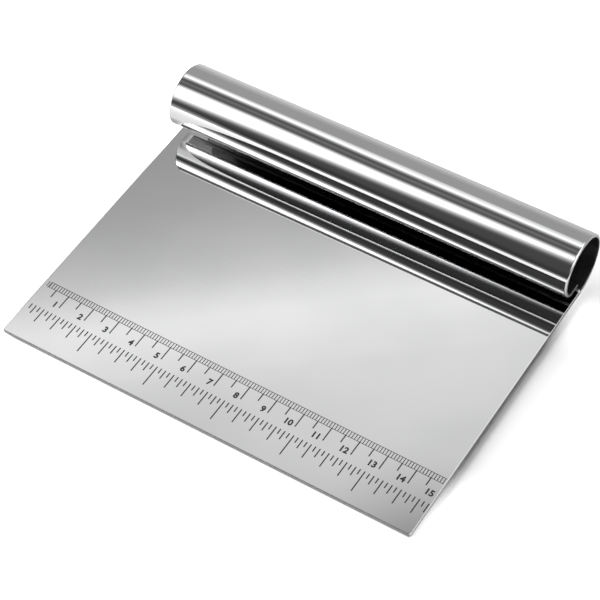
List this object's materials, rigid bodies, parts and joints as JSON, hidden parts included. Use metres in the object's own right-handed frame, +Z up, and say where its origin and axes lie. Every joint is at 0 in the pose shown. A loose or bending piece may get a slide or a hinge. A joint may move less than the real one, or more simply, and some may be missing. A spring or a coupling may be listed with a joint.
{
  "type": "dough scraper",
  "caption": "Bench scraper for dough: a flat polished steel blade with a hollow handle rolled from sheet along its back.",
  "frame": {"origin": "on the resting plane, under the middle of the outline seen from above", "axes": "+X along the working edge and the handle, +Y from the working edge to the handle, +Z up from the blade's underside"},
  "size_m": [0.1504, 0.1188, 0.0237],
  "materials": {
    "polished_steel": "mirror polished stainless steel sheet",
    "weld_steel": "dressed weld, flush and polished outside, as laid inside",
    "etched_marks": "dark etched scale marks, matt"
  },
  "bodies": {
    "root": {"blade": "polished_steel", "seam_weld": "weld_steel", "handle_roll": "polished_steel"}
  },
  "joints": []
}
